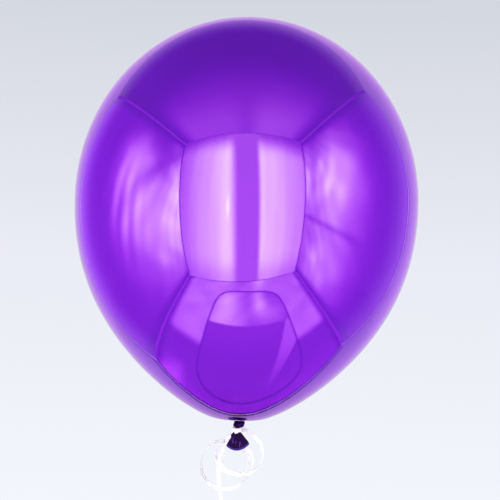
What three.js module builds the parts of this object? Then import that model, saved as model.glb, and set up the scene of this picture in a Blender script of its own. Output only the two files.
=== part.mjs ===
// A round party balloon of purple latex, blown up, tied off and finished with a curling ribbon.
// The frame: origin in the middle of the ribbon's tie on the neck, +Z up the balloon's axis to
// its crown, +Y to the back. Millimetres.
//
// Real latex is one dip-moulded skin. It is split here where it behaves differently: the
// stretched bubble, the thick throat where the bubble ends, the short neck that bends, the
// knot, and the flat tail with its rolled lip. The ribbon is a tie, a long lead and a curl.
import * as THREE from 'three';

// ---- driving dimensions -------------------------------------------------------------------

// Bubble: the upper half is half an ellipsoid, the lower half draws in towards the neck.
const BUBBLE_RADIUS = 150;
const CROWN_HEIGHT = 161.7; // equator to crown
const POLE_DEPTH = 193.2; // equator to where the lower half would close
const LOWER_PINCH = 0.26; // how much slimmer than an ellipse the lower half ends
const LOWER_PINCH_POWER = 3.07;
const EQUATOR_Z = 200;
const SKIN = 0.4; // stands in for a film some hundredths of a millimetre thick
const BUBBLE_SIDES = 64;
const COLLAR_SIDES = 32; // the throat, the tail and the tie
const NECK_SIDES = 24; // the neck and the knot
const LIP_SIDES = 40;
const UPPER_STEPS = 14;
const LOWER_STEPS = 14;
const ROUND_STEPS = 10; // round the neck's ball, and round the lip's bead
const BOTTOM_RADIUS = 29; // from here to the throat the bottom is a shallow cone
const FINE_RADIUS = 58; // the outline has closer points inside this radius

// Throat, neck and the point that the bubble leans about.
const LEAN_Z = 11;
const THROAT_RADIUS = 8.4;
const THROAT_HOLE = 3.7;
const THROAT_THICK = 1.5;
const THROAT_EDGE = 0.4; // its outer corners are cut off by this much
const NECK_RADIUS = 3.4;
const NECK_TOP = 13.2;
const GAP = 0.3; // between pieces that touch

// Knot.
const KNOT_RADIUS = 4.75;
const KNOT_BOTTOM = 1.9;
const KNOT_TOP = 8.2;
const KNOT_CUP = 3.8; // radius of the hollow that the neck rocks in
const KNOT_ROUNDING = 2; // height of its rounded ends
const KNOT_CORNER = 0.7; // height of the first facet of that rounding
const KNOT_FLAT = 3.3; // radius of its flat underside
const KNOT_FACET = 4.35; // radius where the facets of the rounding meet

// Tail: a funnel pressed flat, with the rolled lip along its mouth.
const STEM_RADIUS = 3.2;
const STEM_TOP = 1.6;
const FAN_TOP = -2;
const FAN_BOTTOM = -16;
const FAN_HALF_WIDTH = 10.2;
const FAN_HALF_THICK = 2.2;
const FAN_WALL = 1;
const FAN_SPREAD_DEPTH = 15; // the fan would be full width this far below its top
const FAN_SPREAD_POWER = 0.9;
const FAN_DEPTHS = [0, 0.5, 1.5, 3, 5, 7.5, 10, 12, 14]; // of its outside, from its top
const MOUTH_DEPTHS = [14, 12, 10, 7.5, 6]; // of its inside
const MOUTH_END = { radius: 3.2, edgeDepth: 4.6, depth: 4 }; // where the inside closes
const FAN_THIN_DEPTH = 8;
const LIP_BOW = 5.5; // how much lower the middle of the mouth hangs than its ends
const LIP_RADIUS = 1;
const LIP_HALF_WIDTH = 9.2;
const LIP_HALF_THICK = 1.6;

// Ribbon: 5 mm curling ribbon.
const RIBBON_WIDTH = 5;
const RIBBON_THICK = 1;
const TIE_INNER = 3.55;
const TIE_OUTER = 4.6;
const TIE_HALF_HEIGHT = 1.65;
const RIBBON_KNOT = { wide: 5.2, deep: 1.8, high: 3, y: -5.85, corner: 0.5 };

// The lead's spare length, wound into a coil about Y.
const COIL = { x: 16, y: -5.6, z: -104, inner: 25.2, outer: 30.8, halfWidth: 10.6 };
const COIL_SIDES = 48;
const BAND = { length: 6, wall: 1.2, gap: 0.35 };

// The lead hangs down in front of the tail from the ribbon's knot to the coil.
const LEAD_ROUTE = [
  [-3.4, -5.9, -0.3],
  [-5.2, -6.8, -1.2],
  [-7.1, -9.2, -5.3],
  [-9.7, -9.6, -10.4],
  [-12.3, -9.8, -17],
  [-14.3, -9.8, -23.4],
  [-15.2, -10, -30.6],
  [-14.9, -10, -37.9],
  [-14.3, -10.1, -44.5],
  [-13.4, -10.3, -51],
  [-12.3, -10.6, -56.6],
  [-11.6, -11, -62.6],
  [-11.6, -11.7, -70],
  [-12, -12.6, -78],
  [-12.4, -13.2, -83.6],
];

// The short end curls round three times behind the tail.
const CURL_ROUTE = [
  [3, -5.8, 0.2],
  [5.6, -5.2, 0.6],
  [8.8, -3.4, -0.4],
  [12.6, -0.8, -3],
  [17, 1.4, -7.4],
  [21.2, 2.8, -12.7],
  [23.2, 4, -19.4],
  [22.8, 5, -26],
  [20.6, 6, -32],
  [16.2, 7, -37.3],
  [10, 8.2, -40.6],
  [2.8, 9.5, -41.6],
  [-4.8, 10.8, -40.6],
  [-11.2, 12, -37.4],
  [-15, 13, -32],
  [-15.4, 13.8, -26.4],
  [-13, 14.5, -21.6],
  [-8.6, 15.2, -18.4],
  [-3.2, 15.8, -17.4],
  [2.4, 16.4, -18.8],
  [7.6, 17, -22.6],
  [10.8, 17.8, -28.4],
  [11.3, 18.6, -35],
  [8.6, 19.6, -40.6],
  [2.4, 20.8, -43.8],
  [-5.4, 22, -43.6],
  [-12.6, 23, -39.8],
  [-17.8, 24, -33.2],
  [-18.8, 24.8, -25.6],
  [-16.4, 25.4, -19.4],
  [-11.2, 26, -15.6],
  [-4.6, 26.6, -15.2],
  [2.6, 27.2, -17.6],
  [9, 27.8, -21.6],
  [13.4, 28.4, -27.4],
  [15, 29.2, -35],
  [13.2, 30.2, -43.4],
  [9.4, 31, -50],
  [3.6, 31.8, -56],
  [-3.6, 32.6, -59.4],
  [-11.4, 33.4, -60.6],
  [-19, 34.2, -59],
  [-25.8, 35, -55],
  [-30.6, 35.8, -48.6],
  [-32, 36.6, -40.4],
  [-30.6, 37.2, -32],
  [-27, 37.8, -25],
  [-21.4, 38.4, -20.4],
  [-14.4, 39, -18.2],
  [-7, 39.5, -18.6],
];
const LEAD_STEPS = 24;
const CURL_STEPS = 72;

// ---- materials ----------------------------------------------------------------------------

const stretchedLatex = new THREE.MeshStandardMaterial({ color: 0x8a2bdc, roughness: 0.12, metalness: 0 });
const denseLatex = new THREE.MeshStandardMaterial({ color: 0x230842, roughness: 0.3, metalness: 0 });
const ribbonFilm = new THREE.MeshStandardMaterial({ color: 0xf4f2f8, roughness: 0.35, metalness: 0 });
const bandPaper = new THREE.MeshStandardMaterial({ color: 0xe9e6ee, roughness: 0.6, metalness: 0 });

// ---- shapes -------------------------------------------------------------------------------

const v2 = (r, z) => new THREE.Vector2(r, z);

// Turns a profile of (radius, z) points about the Z axis.
function turned(profile, sides) {
  const geometry = new THREE.LatheGeometry(profile, sides);
  geometry.rotateX(Math.PI / 2);
  return geometry;
}

// Moves every vertex by a rule.
function reshape(geometry, rule) {
  const places = geometry.attributes.position;
  const at = new THREE.Vector3();
  for (let i = 0; i < places.count; i += 1) {
    at.fromBufferAttribute(places, i);
    rule(at);
    places.setXYZ(i, at.x, at.y, at.z);
  }
  geometry.computeVertexNormals();
  return geometry;
}

// The outside of the bubble from the crown to where its bottom cone starts.
function bubbleOutline() {
  const points = [];
  for (let i = 0; i <= UPPER_STEPS; i += 1) {
    const turn = (i / UPPER_STEPS) * (Math.PI / 2);
    points.push(v2(BUBBLE_RADIUS * Math.sin(turn), EQUATOR_Z + CROWN_HEIGHT * Math.cos(turn)));
  }
  points[0].x = 0;
  for (let i = 1; i <= LOWER_STEPS * 4; i += 1) {
    const turn = (i / (LOWER_STEPS * 4)) * (Math.PI / 2);
    const depth = Math.sin(turn);
    const radius = BUBBLE_RADIUS * Math.cos(turn) * (1 - LOWER_PINCH * depth ** LOWER_PINCH_POWER);
    if (radius < BOTTOM_RADIUS) break;
    if (i % 4 === 0 || radius < FINE_RADIUS) {
      points.push(v2(radius, EQUATOR_Z - POLE_DEPTH * depth));
    }
  }
  return points;
}

// The same line moved inwards by the skin's thickness.
function offsetInwards(points, distance) {
  return points.map((point, i) => {
    if (point.x === 0) return v2(0, point.y - distance);
    const before = points[Math.max(i - 1, 0)];
    const after = points[Math.min(i + 1, points.length - 1)];
    const along = v2(after.x - before.x, after.y - before.y).normalize();
    return v2(point.x + along.y * distance, point.y - along.x * distance);
  });
}

function bubble() {
  const hole = THROAT_RADIUS + GAP;
  const outside = bubbleOutline();
  const holeLow = LEAN_Z - THROAT_THICK / 2;
  outside.push(v2(hole, holeLow));
  const inside = offsetInwards(outside, SKIN).reverse();
  inside[0] = v2(hole, holeLow + SKIN);
  return turned([...outside, ...inside].reverse(), BUBBLE_SIDES);
}

function throat() {
  const low = LEAN_Z - THROAT_THICK / 2;
  const high = LEAN_Z + THROAT_THICK / 2;
  const profile = [
    v2(THROAT_HOLE, low),
    v2(THROAT_RADIUS - THROAT_EDGE, low),
    v2(THROAT_RADIUS, low + THROAT_EDGE),
    v2(THROAT_RADIUS, high - THROAT_EDGE),
    v2(THROAT_RADIUS - THROAT_EDGE, high),
    v2(THROAT_HOLE, high),
    v2(THROAT_HOLE, low),
  ];
  return turned(profile, COLLAR_SIDES);
}

// A ball about the point the bubble leans about, cut flat on top, so that it turns in place.
function neck() {
  const flatAt = Math.asin((NECK_TOP - LEAN_Z) / NECK_RADIUS);
  const profile = [];
  for (let i = 0; i <= ROUND_STEPS; i += 1) {
    const tilt = -Math.PI / 2 + (i / ROUND_STEPS) * (flatAt + Math.PI / 2);
    profile.push(v2(NECK_RADIUS * Math.cos(tilt), LEAN_Z + NECK_RADIUS * Math.sin(tilt)));
  }
  profile[0].x = 0;
  profile.push(v2(0, NECK_TOP));
  return turned(profile, NECK_SIDES);
}

function knot() {
  const cupEdge = Math.sqrt(KNOT_CUP ** 2 - (LEAN_Z - KNOT_TOP) ** 2);
  const profile = [
    v2(0, KNOT_BOTTOM),
    v2(KNOT_FLAT, KNOT_BOTTOM),
    v2(KNOT_FACET, KNOT_BOTTOM + KNOT_CORNER),
    v2(KNOT_RADIUS, KNOT_BOTTOM + KNOT_ROUNDING),
    v2(KNOT_RADIUS, KNOT_TOP - KNOT_ROUNDING),
    v2(KNOT_FACET, KNOT_TOP - KNOT_CORNER),
    v2(KNOT_FLAT + GAP, KNOT_TOP),
    v2(cupEdge, KNOT_TOP),
  ];
  const cupAngle = Math.asin(cupEdge / KNOT_CUP);
  for (const share of [0.66, 0.33]) {
    const angle = cupAngle * share;
    profile.push(v2(KNOT_CUP * Math.sin(angle), LEAN_Z - KNOT_CUP * Math.cos(angle)));
  }
  profile.push(v2(0, LEAN_Z - KNOT_CUP));
  return turned(profile, NECK_SIDES);
}

// Half-width of the fan at a depth below its top.
function fanHalfWidth(depth) {
  const spread = Math.sin((Math.PI / 2) * Math.min(1, depth / FAN_SPREAD_DEPTH));
  return STEM_RADIUS + (FAN_HALF_WIDTH - STEM_RADIUS) * spread ** FAN_SPREAD_POWER;
}

function fanHalfThick(depth) {
  return STEM_RADIUS - (STEM_RADIUS - FAN_HALF_THICK) * Math.min(1, depth / FAN_THIN_DEPTH);
}

function bow(x) {
  return LIP_BOW * (x / FAN_HALF_WIDTH) ** 2;
}

function tail() {
  const outside = [v2(0, STEM_TOP), v2(STEM_RADIUS, STEM_TOP)];
  for (const depth of FAN_DEPTHS) outside.push(v2(fanHalfWidth(depth), FAN_TOP - depth));
  const inside = [];
  for (const depth of MOUTH_DEPTHS) {
    inside.push(v2(fanHalfWidth(depth) - FAN_WALL, FAN_TOP - depth));
  }
  inside.push(v2(MOUTH_END.radius, FAN_TOP - MOUTH_END.edgeDepth), v2(0, FAN_TOP - MOUTH_END.depth));
  const profile = [...outside, ...inside].reverse();
  const geometry = turned(profile, COLLAR_SIDES);
  let index = 0;
  return reshape(geometry, (at) => {
    const isInside = index % profile.length < inside.length;
    index += 1;
    const depth = Math.max(0, FAN_TOP - at.z);
    const wall = isInside ? FAN_WALL : 0;
    at.y *= (fanHalfThick(depth) - wall) / (fanHalfWidth(depth) - wall);
    at.z += bow(at.x) * (depth / (FAN_TOP - FAN_BOTTOM)) ** 2;
  });
}

function rolledLip() {
  const centre = v2(LIP_HALF_WIDTH, FAN_BOTTOM - GAP - LIP_RADIUS);
  const profile = [];
  for (let i = 0; i <= ROUND_STEPS; i += 1) {
    const turn = (i / ROUND_STEPS) * Math.PI * 2;
    profile.push(v2(centre.x + LIP_RADIUS * Math.cos(turn), centre.y + LIP_RADIUS * Math.sin(turn)));
  }
  profile[ROUND_STEPS].copy(profile[0]);
  return reshape(turned(profile, LIP_SIDES), (at) => {
    const radius = Math.hypot(at.x, at.y);
    at.y *= (radius - LIP_HALF_WIDTH + LIP_HALF_THICK) / radius;
    at.z += bow(at.x);
  });
}

function ribbonTie() {
  const profile = [
    v2(TIE_INNER, -TIE_HALF_HEIGHT),
    v2(TIE_OUTER, -TIE_HALF_HEIGHT),
    v2(TIE_OUTER, TIE_HALF_HEIGHT),
    v2(TIE_INNER, TIE_HALF_HEIGHT),
    v2(TIE_INNER, -TIE_HALF_HEIGHT),
  ];
  return turned(profile, COLLAR_SIDES);
}

// An outline of a rectangle with cut corners, about the origin.
function chamfered(width, height, corner) {
  const x = width / 2;
  const y = height / 2;
  return new THREE.Shape([
    v2(-x + corner, -y),
    v2(x - corner, -y),
    v2(x, -y + corner),
    v2(x, y - corner),
    v2(x - corner, y),
    v2(-x + corner, y),
    v2(-x, y - corner),
    v2(-x, -y + corner),
  ]);
}

function ribbonKnot() {
  const { wide, deep, high, y, corner } = RIBBON_KNOT;
  const outline = chamfered(wide, high, corner);
  const geometry = new THREE.ExtrudeGeometry(outline, { depth: deep, bevelEnabled: false });
  geometry.rotateX(Math.PI / 2);
  geometry.translate(0, y + deep / 2, 0);
  return geometry;
}

// A flat strip swept along a smooth route, its width across the coils.
function strip(route, steps) {
  const path = new THREE.CatmullRomCurve3(route.map((p) => new THREE.Vector3(...p)));
  const section = chamfered(RIBBON_WIDTH, RIBBON_THICK, RIBBON_THICK / 4);
  return new THREE.ExtrudeGeometry(section, { steps, extrudePath: path, bevelEnabled: false });
}

// LatheGeometry turns about Y, which is the coil's own axis.
function ribbonCoil() {
  const { inner, outer, halfWidth } = COIL;
  const profile = [
    v2(inner, -halfWidth),
    v2(outer, -halfWidth),
    v2(outer, halfWidth),
    v2(inner, halfWidth),
    v2(inner, -halfWidth),
  ];
  const geometry = new THREE.LatheGeometry(profile, COIL_SIDES);
  geometry.translate(COIL.x, COIL.y, COIL.z);
  return geometry;
}

// A paper band round the bottom of the coil.
function coilBand() {
  const middle = (COIL.inner + COIL.outer) / 2;
  const innerHigh = COIL.outer - COIL.inner + 2 * BAND.gap;
  const innerWide = 2 * (COIL.halfWidth + BAND.gap);
  const outline = chamfered(innerWide + 2 * BAND.wall, innerHigh + 2 * BAND.wall, BAND.wall);
  const x = innerWide / 2;
  const y = innerHigh / 2;
  outline.holes.push(new THREE.Path([v2(-x, -y), v2(-x, y), v2(x, y), v2(x, -y)]));
  const geometry = new THREE.ExtrudeGeometry(outline, { depth: BAND.length, bevelEnabled: false });
  geometry.translate(0, 0, -BAND.length / 2);
  geometry.rotateX(Math.PI / 2);
  geometry.rotateZ(Math.PI / 2);
  geometry.translate(COIL.x, COIL.y, COIL.z - middle);
  return geometry;
}

// ---- assembly -----------------------------------------------------------------------------

function named(name, geometry, material) {
  const mesh = new THREE.Mesh(geometry, material);
  mesh.name = name;
  return mesh;
}

const tiedEnd = new THREE.Group();
tiedEnd.add(named('knot', knot(), denseLatex));
tiedEnd.add(named('tail', tail(), denseLatex));
tiedEnd.add(named('rolled_lip', rolledLip(), denseLatex));

const inflated = new THREE.Group();
inflated.add(named('neck', neck(), denseLatex));
inflated.add(named('throat', throat(), denseLatex));
inflated.add(named('bubble', bubble(), stretchedLatex));

const ribbon = new THREE.Group();
ribbon.add(named('ribbon_tie', ribbonTie(), ribbonFilm));
ribbon.add(named('ribbon_knot', ribbonKnot(), ribbonFilm));
ribbon.add(named('ribbon_lead', strip(LEAD_ROUTE, LEAD_STEPS), ribbonFilm));
ribbon.add(named('ribbon_coil', ribbonCoil(), ribbonFilm));
ribbon.add(named('coil_band', coilBand(), bandPaper));
ribbon.add(named('ribbon_curl', strip(CURL_ROUTE, CURL_STEPS), ribbonFilm));

const group = new THREE.Group();
group.add(tiedEnd, inflated, ribbon);

export default group;
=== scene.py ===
# A round purple latex party balloon, knotted and tied with white curling ribbon.
# Metres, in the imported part's frame: origin at the ribbon's tie, +Z up to the crown, +Y to the back.
import math
import bpy
import numpy as np
from mathutils import Matrix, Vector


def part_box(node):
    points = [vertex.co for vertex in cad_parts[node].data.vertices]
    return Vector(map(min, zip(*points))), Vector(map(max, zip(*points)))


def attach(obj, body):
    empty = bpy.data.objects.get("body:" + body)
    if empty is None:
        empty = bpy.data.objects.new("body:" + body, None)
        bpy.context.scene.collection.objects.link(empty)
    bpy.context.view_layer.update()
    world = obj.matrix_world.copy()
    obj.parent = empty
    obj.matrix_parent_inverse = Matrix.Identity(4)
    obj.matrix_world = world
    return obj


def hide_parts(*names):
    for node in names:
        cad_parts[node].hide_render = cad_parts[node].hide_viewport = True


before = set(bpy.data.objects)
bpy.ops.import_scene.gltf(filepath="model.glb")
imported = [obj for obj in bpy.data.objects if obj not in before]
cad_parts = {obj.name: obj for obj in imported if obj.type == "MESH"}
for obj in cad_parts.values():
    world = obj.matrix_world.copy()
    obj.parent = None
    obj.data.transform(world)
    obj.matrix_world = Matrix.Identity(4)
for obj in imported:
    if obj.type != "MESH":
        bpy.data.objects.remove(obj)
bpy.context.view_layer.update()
MM = 0.001


# ---- Camera -------------------------------------------------------------------------------
# A level camera in front of the balloon. The balloon hangs a little out of plumb, so the camera
# is rolled by that much.
BALLOON_LEAN = 0.041
CAMERA_PLACE = (4.6 * MM, -0.9, 159.0 * MM)
CAMERA_LENS = 73.3

lens = bpy.data.cameras.new("camera")
lens.lens = CAMERA_LENS
lens.sensor_width = 36
lens.clip_start = 0.01
camera = bpy.data.objects.new("camera", lens)
bpy.context.scene.collection.objects.link(camera)
right = (math.cos(BALLOON_LEAN), 0, math.sin(BALLOON_LEAN))
up = (-math.sin(BALLOON_LEAN), 0, math.cos(BALLOON_LEAN))
camera.matrix_world = Matrix(
    [(right[i], up[i], (0, -1, 0)[i], CAMERA_PLACE[i]) for i in range(3)] + [(0, 0, 0, 1)]
)
bpy.context.scene.camera = camera
bpy.context.scene.view_settings.view_transform = "Standard"


# ---- Long end of the ribbon ---------------------------------------------------------------
# Curling ribbon: a 5 mm strip of crimped polypropylene film, cut from a roll and left limp.
# It leaves the knot at the front, hangs in front of the tail, and its spare length is wound up.
RIBBON_WIDTH = 5 * MM
RIBBON_THICK = 0.3 * MM
RIBBON_STEP = 1.2 * MM
COIL_CENTRE = np.array((16, -5.6, -104)) * MM
COIL_RADII = (29.5 * MM, 26.5 * MM)
COIL_TURNS_ACROSS = 3
COIL_PITCH = 5.2 * MM
COIL_POINTS_PER_TURN = 16
CROSSING = 0.3  # of a turn, to go from the outer radius to the inner one
LEAD_FACING = np.array((0.58, 0.81, 0))
COIL_FACING = np.array((0, 1.0, 0))
TURNS_FROM, TURNS_OVER = -60 * MM, 25 * MM
COILED_BELOW = -86 * MM
LEAD_ROUTE = np.array([
    (-3.4, -5.9, -0.3),
    (-5.2, -6.8, -1.2),
    (-7.1, -9.2, -5.3),
    (-9.7, -9.6, -10.4),
    (-12.3, -9.8, -17),
    (-14.3, -9.8, -23.4),
    (-15.2, -10, -30.6),
    (-14.9, -10, -37.9),
    (-14.3, -10.1, -44.5),
    (-13.4, -10.3, -51),
    (-12.3, -10.6, -56.6),
    (-11.6, -11, -62.6),
    (-11.6, -11.7, -70),
    (-12, -12.6, -78),
    (-12.5, -13.2, -85.5),
    (-13, -13.4, -91.6),
]) * MM


def unit(v):
    return v / np.linalg.norm(v, axis=-1, keepdims=True)


def smooth_route(points, step):
    """A smooth line through points, with a point about every step."""
    ends = np.vstack((2 * points[0] - points[1], points, 2 * points[-1] - points[-2]))
    line = []
    for a, b, c, d in zip(ends, ends[1:], ends[2:], ends[3:]):
        t1 = np.linalg.norm(b - a) ** 0.5
        t2 = t1 + np.linalg.norm(c - b) ** 0.5
        t3 = t2 + np.linalg.norm(d - c) ** 0.5
        count = max(2, round(np.linalg.norm(c - b) / step))
        t = np.linspace(t1, t2, count, endpoint=False)[:, None]
        ab = (t1 - t) / t1 * a + t / t1 * b
        bc = (t2 - t) / (t2 - t1) * b + (t - t1) / (t2 - t1) * c
        cd = (t3 - t) / (t3 - t2) * c + (t - t2) / (t3 - t2) * d
        abc = (t2 - t) / t2 * ab + t / t2 * bc
        bcd = (t3 - t) / (t3 - t1) * bc + (t - t1) / (t3 - t1) * cd
        line.append((t2 - t) / (t2 - t1) * abc + (t - t1) / (t2 - t1) * bcd)
    return np.vstack((*line, points[-1:]))


def new_piece(name, places, faces, material, smooth=True):
    mesh = bpy.data.meshes.new(name)
    mesh.from_pydata([tuple(p) for p in places], [], faces)
    mesh.polygons.foreach_set("use_smooth", [smooth] * len(mesh.polygons))
    mesh.materials.append(material)
    piece = bpy.data.objects.new(name, mesh)
    bpy.context.scene.collection.objects.link(piece)
    return piece


def ribbon_strip(name, route, facing, material, width=RIBBON_WIDTH, thick=RIBBON_THICK, slant=0.6):
    """A crimped film strip along route. facing is the way its width runs at each point, and
    slant is how far each end is cut off square, in widths."""
    columns, ribs, crimp, cup = 15, 7, 0.035 * MM, 0.18 * MM
    along = unit(np.gradient(route, axis=0))
    across = unit(facing - (facing * along).sum(1, keepdims=True) * along)
    out = np.cross(along, across)
    w = np.linspace(-1, 1, columns)
    rise = crimp * np.cos(w * ribs * math.pi) + cup * w**2
    edge = thick / 2 * np.sqrt(1 - 0.85 * w**8)
    offsets = np.concatenate((w, w[::-1])) * width / 2
    heights = np.concatenate((rise + edge, (rise - edge)[::-1]))
    count, around = len(route), 2 * columns
    places = route[:, None] + across[:, None] * offsets[:, None] + out[:, None] * heights[:, None]
    for end, way in ((0, 1), (-1, -1)):
        places[end] += along[end] * (way * slant * (offsets[:, None] / width + 0.5)) * width
    fade = min(8, count // 4)
    for k in range(1, fade):
        share = 1 - k / fade
        for end, way in ((k, 1), (-1 - k, -1)):
            places[end] += along[end] * (way * slant * share * (offsets[:, None] / width + 0.5)) * width
    places = places.reshape(-1, 3)
    faces = []
    for i in range(count - 1):
        for j in range(around):
            k = (j + 1) % around
            faces.append((i * around + j, i * around + k, (i + 1) * around + k, (i + 1) * around + j))
    last = (count - 1) * around
    for j in range(columns - 1):
        low = around - 1 - j
        faces.append((j, low, low - 1, j + 1))
        faces.append((last + j, last + j + 1, last + low - 1, last + low))
    piece = new_piece(name, places, faces, material)
    lengths = np.concatenate(([0], np.cumsum(np.linalg.norm(np.diff(route, axis=0), axis=1))))
    uv = piece.data.uv_layers.new(name="strip")
    corners = np.empty(len(piece.data.loops), int)
    piece.data.loops.foreach_get("vertex_index", corners)
    u = offsets[corners % around] / width + 0.5
    uv.data.foreach_set("uv", np.column_stack((u, lengths[corners // around])).astype(np.float32).ravel())
    return piece


# Material helpers. kind is a shader node's type, and its inputs are set by name or number, with a
# value or a link.
def add(tree, kind, inputs=None, **settings):
    made = tree.nodes.new("ShaderNode" + kind)
    for key, value in settings.items():
        setattr(made, key, value)
    for key, value in (inputs or {}).items():
        if isinstance(value, bpy.types.NodeSocket):
            tree.links.new(value, made.inputs[key])
        else:
            made.inputs[key].default_value = value
    return made


def new_material(name):
    made = bpy.data.materials.new(name)
    made.use_nodes = True
    shader = made.node_tree.nodes["Principled BSDF"]
    return made, made.node_tree, shader


def new_group(name, inputs, outputs):
    tree = bpy.data.node_groups.new(name, "ShaderNodeTree")
    for label, kind, value in inputs:
        tree.interface.new_socket(label, in_out="INPUT", socket_type=kind).default_value = value
    for label, kind in outputs:
        tree.interface.new_socket(label, in_out="OUTPUT", socket_type=kind)
    return tree, tree.nodes.new("NodeGroupInput"), tree.nodes.new("NodeGroupOutput")


def use_group(tree, group, **inputs):
    made = tree.nodes.new("ShaderNodeGroup")
    made.node_tree = group
    for key, value in inputs.items():
        socket = made.inputs[key.replace("_", " ")]
        if isinstance(value, bpy.types.NodeSocket):
            tree.links.new(value, socket)
        else:
            socket.default_value = value
    return made


# Handling marks: soft smears and small specks, on everything that hands have touched.
marks, given, result = new_group(
    "handling_marks",
    [("Smear Size", "NodeSocketFloat", 40.0), ("Speck Size", "NodeSocketFloat", 900.0)],
    [("Smears", "NodeSocketFloat"), ("Specks", "NodeSocketFloat")],
)
where = add(marks, "TexCoord")
smear = add(marks, "TexNoise", {"Vector": where.outputs["Object"], "Scale": given.outputs[0],
                                "Detail": 4.0, "Roughness": 0.55, "Distortion": 0.6})
speck = add(marks, "TexVoronoi", {"Vector": where.outputs["Object"], "Scale": given.outputs[1]})
dots = add(marks, "MapRange", {"Value": speck.outputs["Distance"], "From Min": 0.06,
                               "From Max": 0.14, "To Min": 1.0, "To Max": 0.0})
marks.links.new(smear.outputs["Fac"], result.inputs["Smears"])
marks.links.new(dots.outputs["Result"], result.inputs["Specks"])

# Ribbon film: white, a little pearly, with fine crimp lines along it.
ribbon_film, tree, shader = new_material("ribbon_film")
strip_place = add(tree, "UVMap", uv_map="strip")
stretched = add(tree, "Mapping", {"Vector": strip_place.outputs["UV"], "Scale": (1.0, 40.0, 1.0)})
streaks = add(tree, "TexNoise", {"Vector": stretched.outputs["Vector"], "Scale": 6.0, "Detail": 3.0})
lines = add(tree, "TexWave", {"Vector": strip_place.outputs["UV"], "Scale": 7.0, "Distortion": 0.4},
            wave_profile="SIN", bands_direction="X")
film_marks = use_group(tree, marks, Smear_Size=60.0, Speck_Size=1200.0)
pearl = add(tree, "ValToRGB", {"Fac": streaks.outputs["Fac"]})
pearl.color_ramp.elements[0].position = 0.3
pearl.color_ramp.elements[0].color = (0.95, 0.95, 0.96, 1)
pearl.color_ramp.elements[1].position = 0.7
pearl.color_ramp.elements[1].color = (0.99, 0.99, 0.99, 1)
film_rough = add(tree, "MapRange", {"Value": film_marks.outputs["Smears"], "From Min": 0.3,
                                    "From Max": 0.7, "To Min": 0.22, "To Max": 0.4})
film_bump = add(tree, "Bump", {"Height": lines.outputs["Fac"], "Strength": 0.35, "Distance": 0.00005})
tree.links.new(pearl.outputs["Color"], shader.inputs["Base Color"])
tree.links.new(film_rough.outputs["Result"], shader.inputs["Roughness"])
tree.links.new(film_bump.outputs["Normal"], shader.inputs["Normal"])
shader.inputs["Subsurface Weight"].default_value = 1.0
shader.inputs["Subsurface Radius"].default_value = (1, 1, 1)
shader.inputs["Subsurface Scale"].default_value = 0.4 * MM
shader.inputs["Specular IOR Level"].default_value = 0.1
# A faint white emission is painted light: the film glows as if lit through from behind, so its shaded sides
# stay white.
shader.inputs["Emission Color"].default_value = (1, 1, 1, 1)
shader.inputs["Emission Strength"].default_value = 0.05

# The coil's turns go across it at the outer radius, then come back at the inner one.
turns = []
half_across = COIL_TURNS_ACROSS * COIL_PITCH / 2
for i in range(2 * COIL_TURNS_ACROSS * COIL_POINTS_PER_TURN + 1):
    turn = i / COIL_POINTS_PER_TURN
    crossing = min(1, max(0, (turn - COIL_TURNS_ACROSS) / CROSSING + 0.5))
    radius = COIL_RADII[0] + (COIL_RADII[1] - COIL_RADII[0]) * crossing**2 * (3 - 2 * crossing)
    across_at = half_across - abs(turn - COIL_TURNS_ACROSS) * COIL_PITCH
    angle = math.pi + turn * 2 * math.pi
    turns.append(COIL_CENTRE + (radius * math.cos(angle), across_at, radius * math.sin(angle)))
lead_line = smooth_route(np.vstack((LEAD_ROUTE, turns)), RIBBON_STEP)

# It hangs nearly flat to the front, and turns edge-on to lie in the coil.
turning = np.clip((TURNS_FROM - lead_line[:, 2:]) / TURNS_OVER, 0, 1)
turning[np.argmax(lead_line[:, 2] < COILED_BELOW):] = 1
facing = (1 - turning) * LEAD_FACING + turning * COIL_FACING
long_ribbon = ribbon_strip("long_ribbon", lead_line, facing, ribbon_film)
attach(long_ribbon, "lead")
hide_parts("ribbon_lead", "ribbon_coil")


# ---- Short end of the ribbon --------------------------------------------------------------
# The other end of the same ribbon, drawn over a scissor blade, which leaves it in springy rings.
CURL_FACING = (0.28, 0.80, 0.48)
CURL_ROUTE = np.array([
    (3, -5.8, 0.2),
    (5.6, -5.2, 0.6),
    (8.8, -3.4, -0.4),
    (12.6, -0.8, -3),
    (17, 1.4, -7.4),
    (21.2, 2.8, -12.7),
    (23.2, 4, -19.4),
    (22.8, 5, -26),
    (20.6, 6, -32),
    (16.2, 7, -37.3),
    (10, 8.2, -40.6),
    (2.8, 9.5, -41.6),
    (-4.8, 10.8, -40.6),
    (-11.2, 12, -37.4),
    (-15, 13, -32),
    (-15.4, 13.8, -26.4),
    (-13, 14.5, -21.6),
    (-8.6, 15.2, -18.4),
    (-3.2, 15.8, -17.4),
    (2.4, 16.4, -18.8),
    (7.6, 17, -22.6),
    (10.8, 17.8, -28.4),
    (11.3, 18.6, -35),
    (8.6, 19.6, -40.6),
    (2.4, 20.8, -43.8),
    (-5.4, 22, -43.6),
    (-12.6, 23, -39.8),
    (-17.8, 24, -33.2),
    (-18.8, 24.8, -25.6),
    (-16.4, 25.4, -19.4),
    (-11.2, 26, -15.6),
    (-4.6, 26.6, -15.2),
    (2.6, 27.2, -17.6),
    (9, 27.8, -21.6),
    (13.4, 28.4, -27.4),
    (15, 29.2, -35),
    (13.2, 30.2, -43.4),
    (9.4, 31, -50),
    (3.6, 31.8, -56),
    (-3.6, 32.6, -59.4),
    (-11.4, 33.4, -60.6),
    (-19, 34.2, -59),
    (-25.8, 35, -55),
    (-30.6, 35.8, -48.6),
    (-32, 36.6, -40.4),
    (-30.6, 37.2, -32),
    (-27, 37.8, -25),
    (-21.4, 38.4, -20.4),
    (-14.4, 39, -18.2),
    (-7, 39.5, -18.6),
]) * MM
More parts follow.
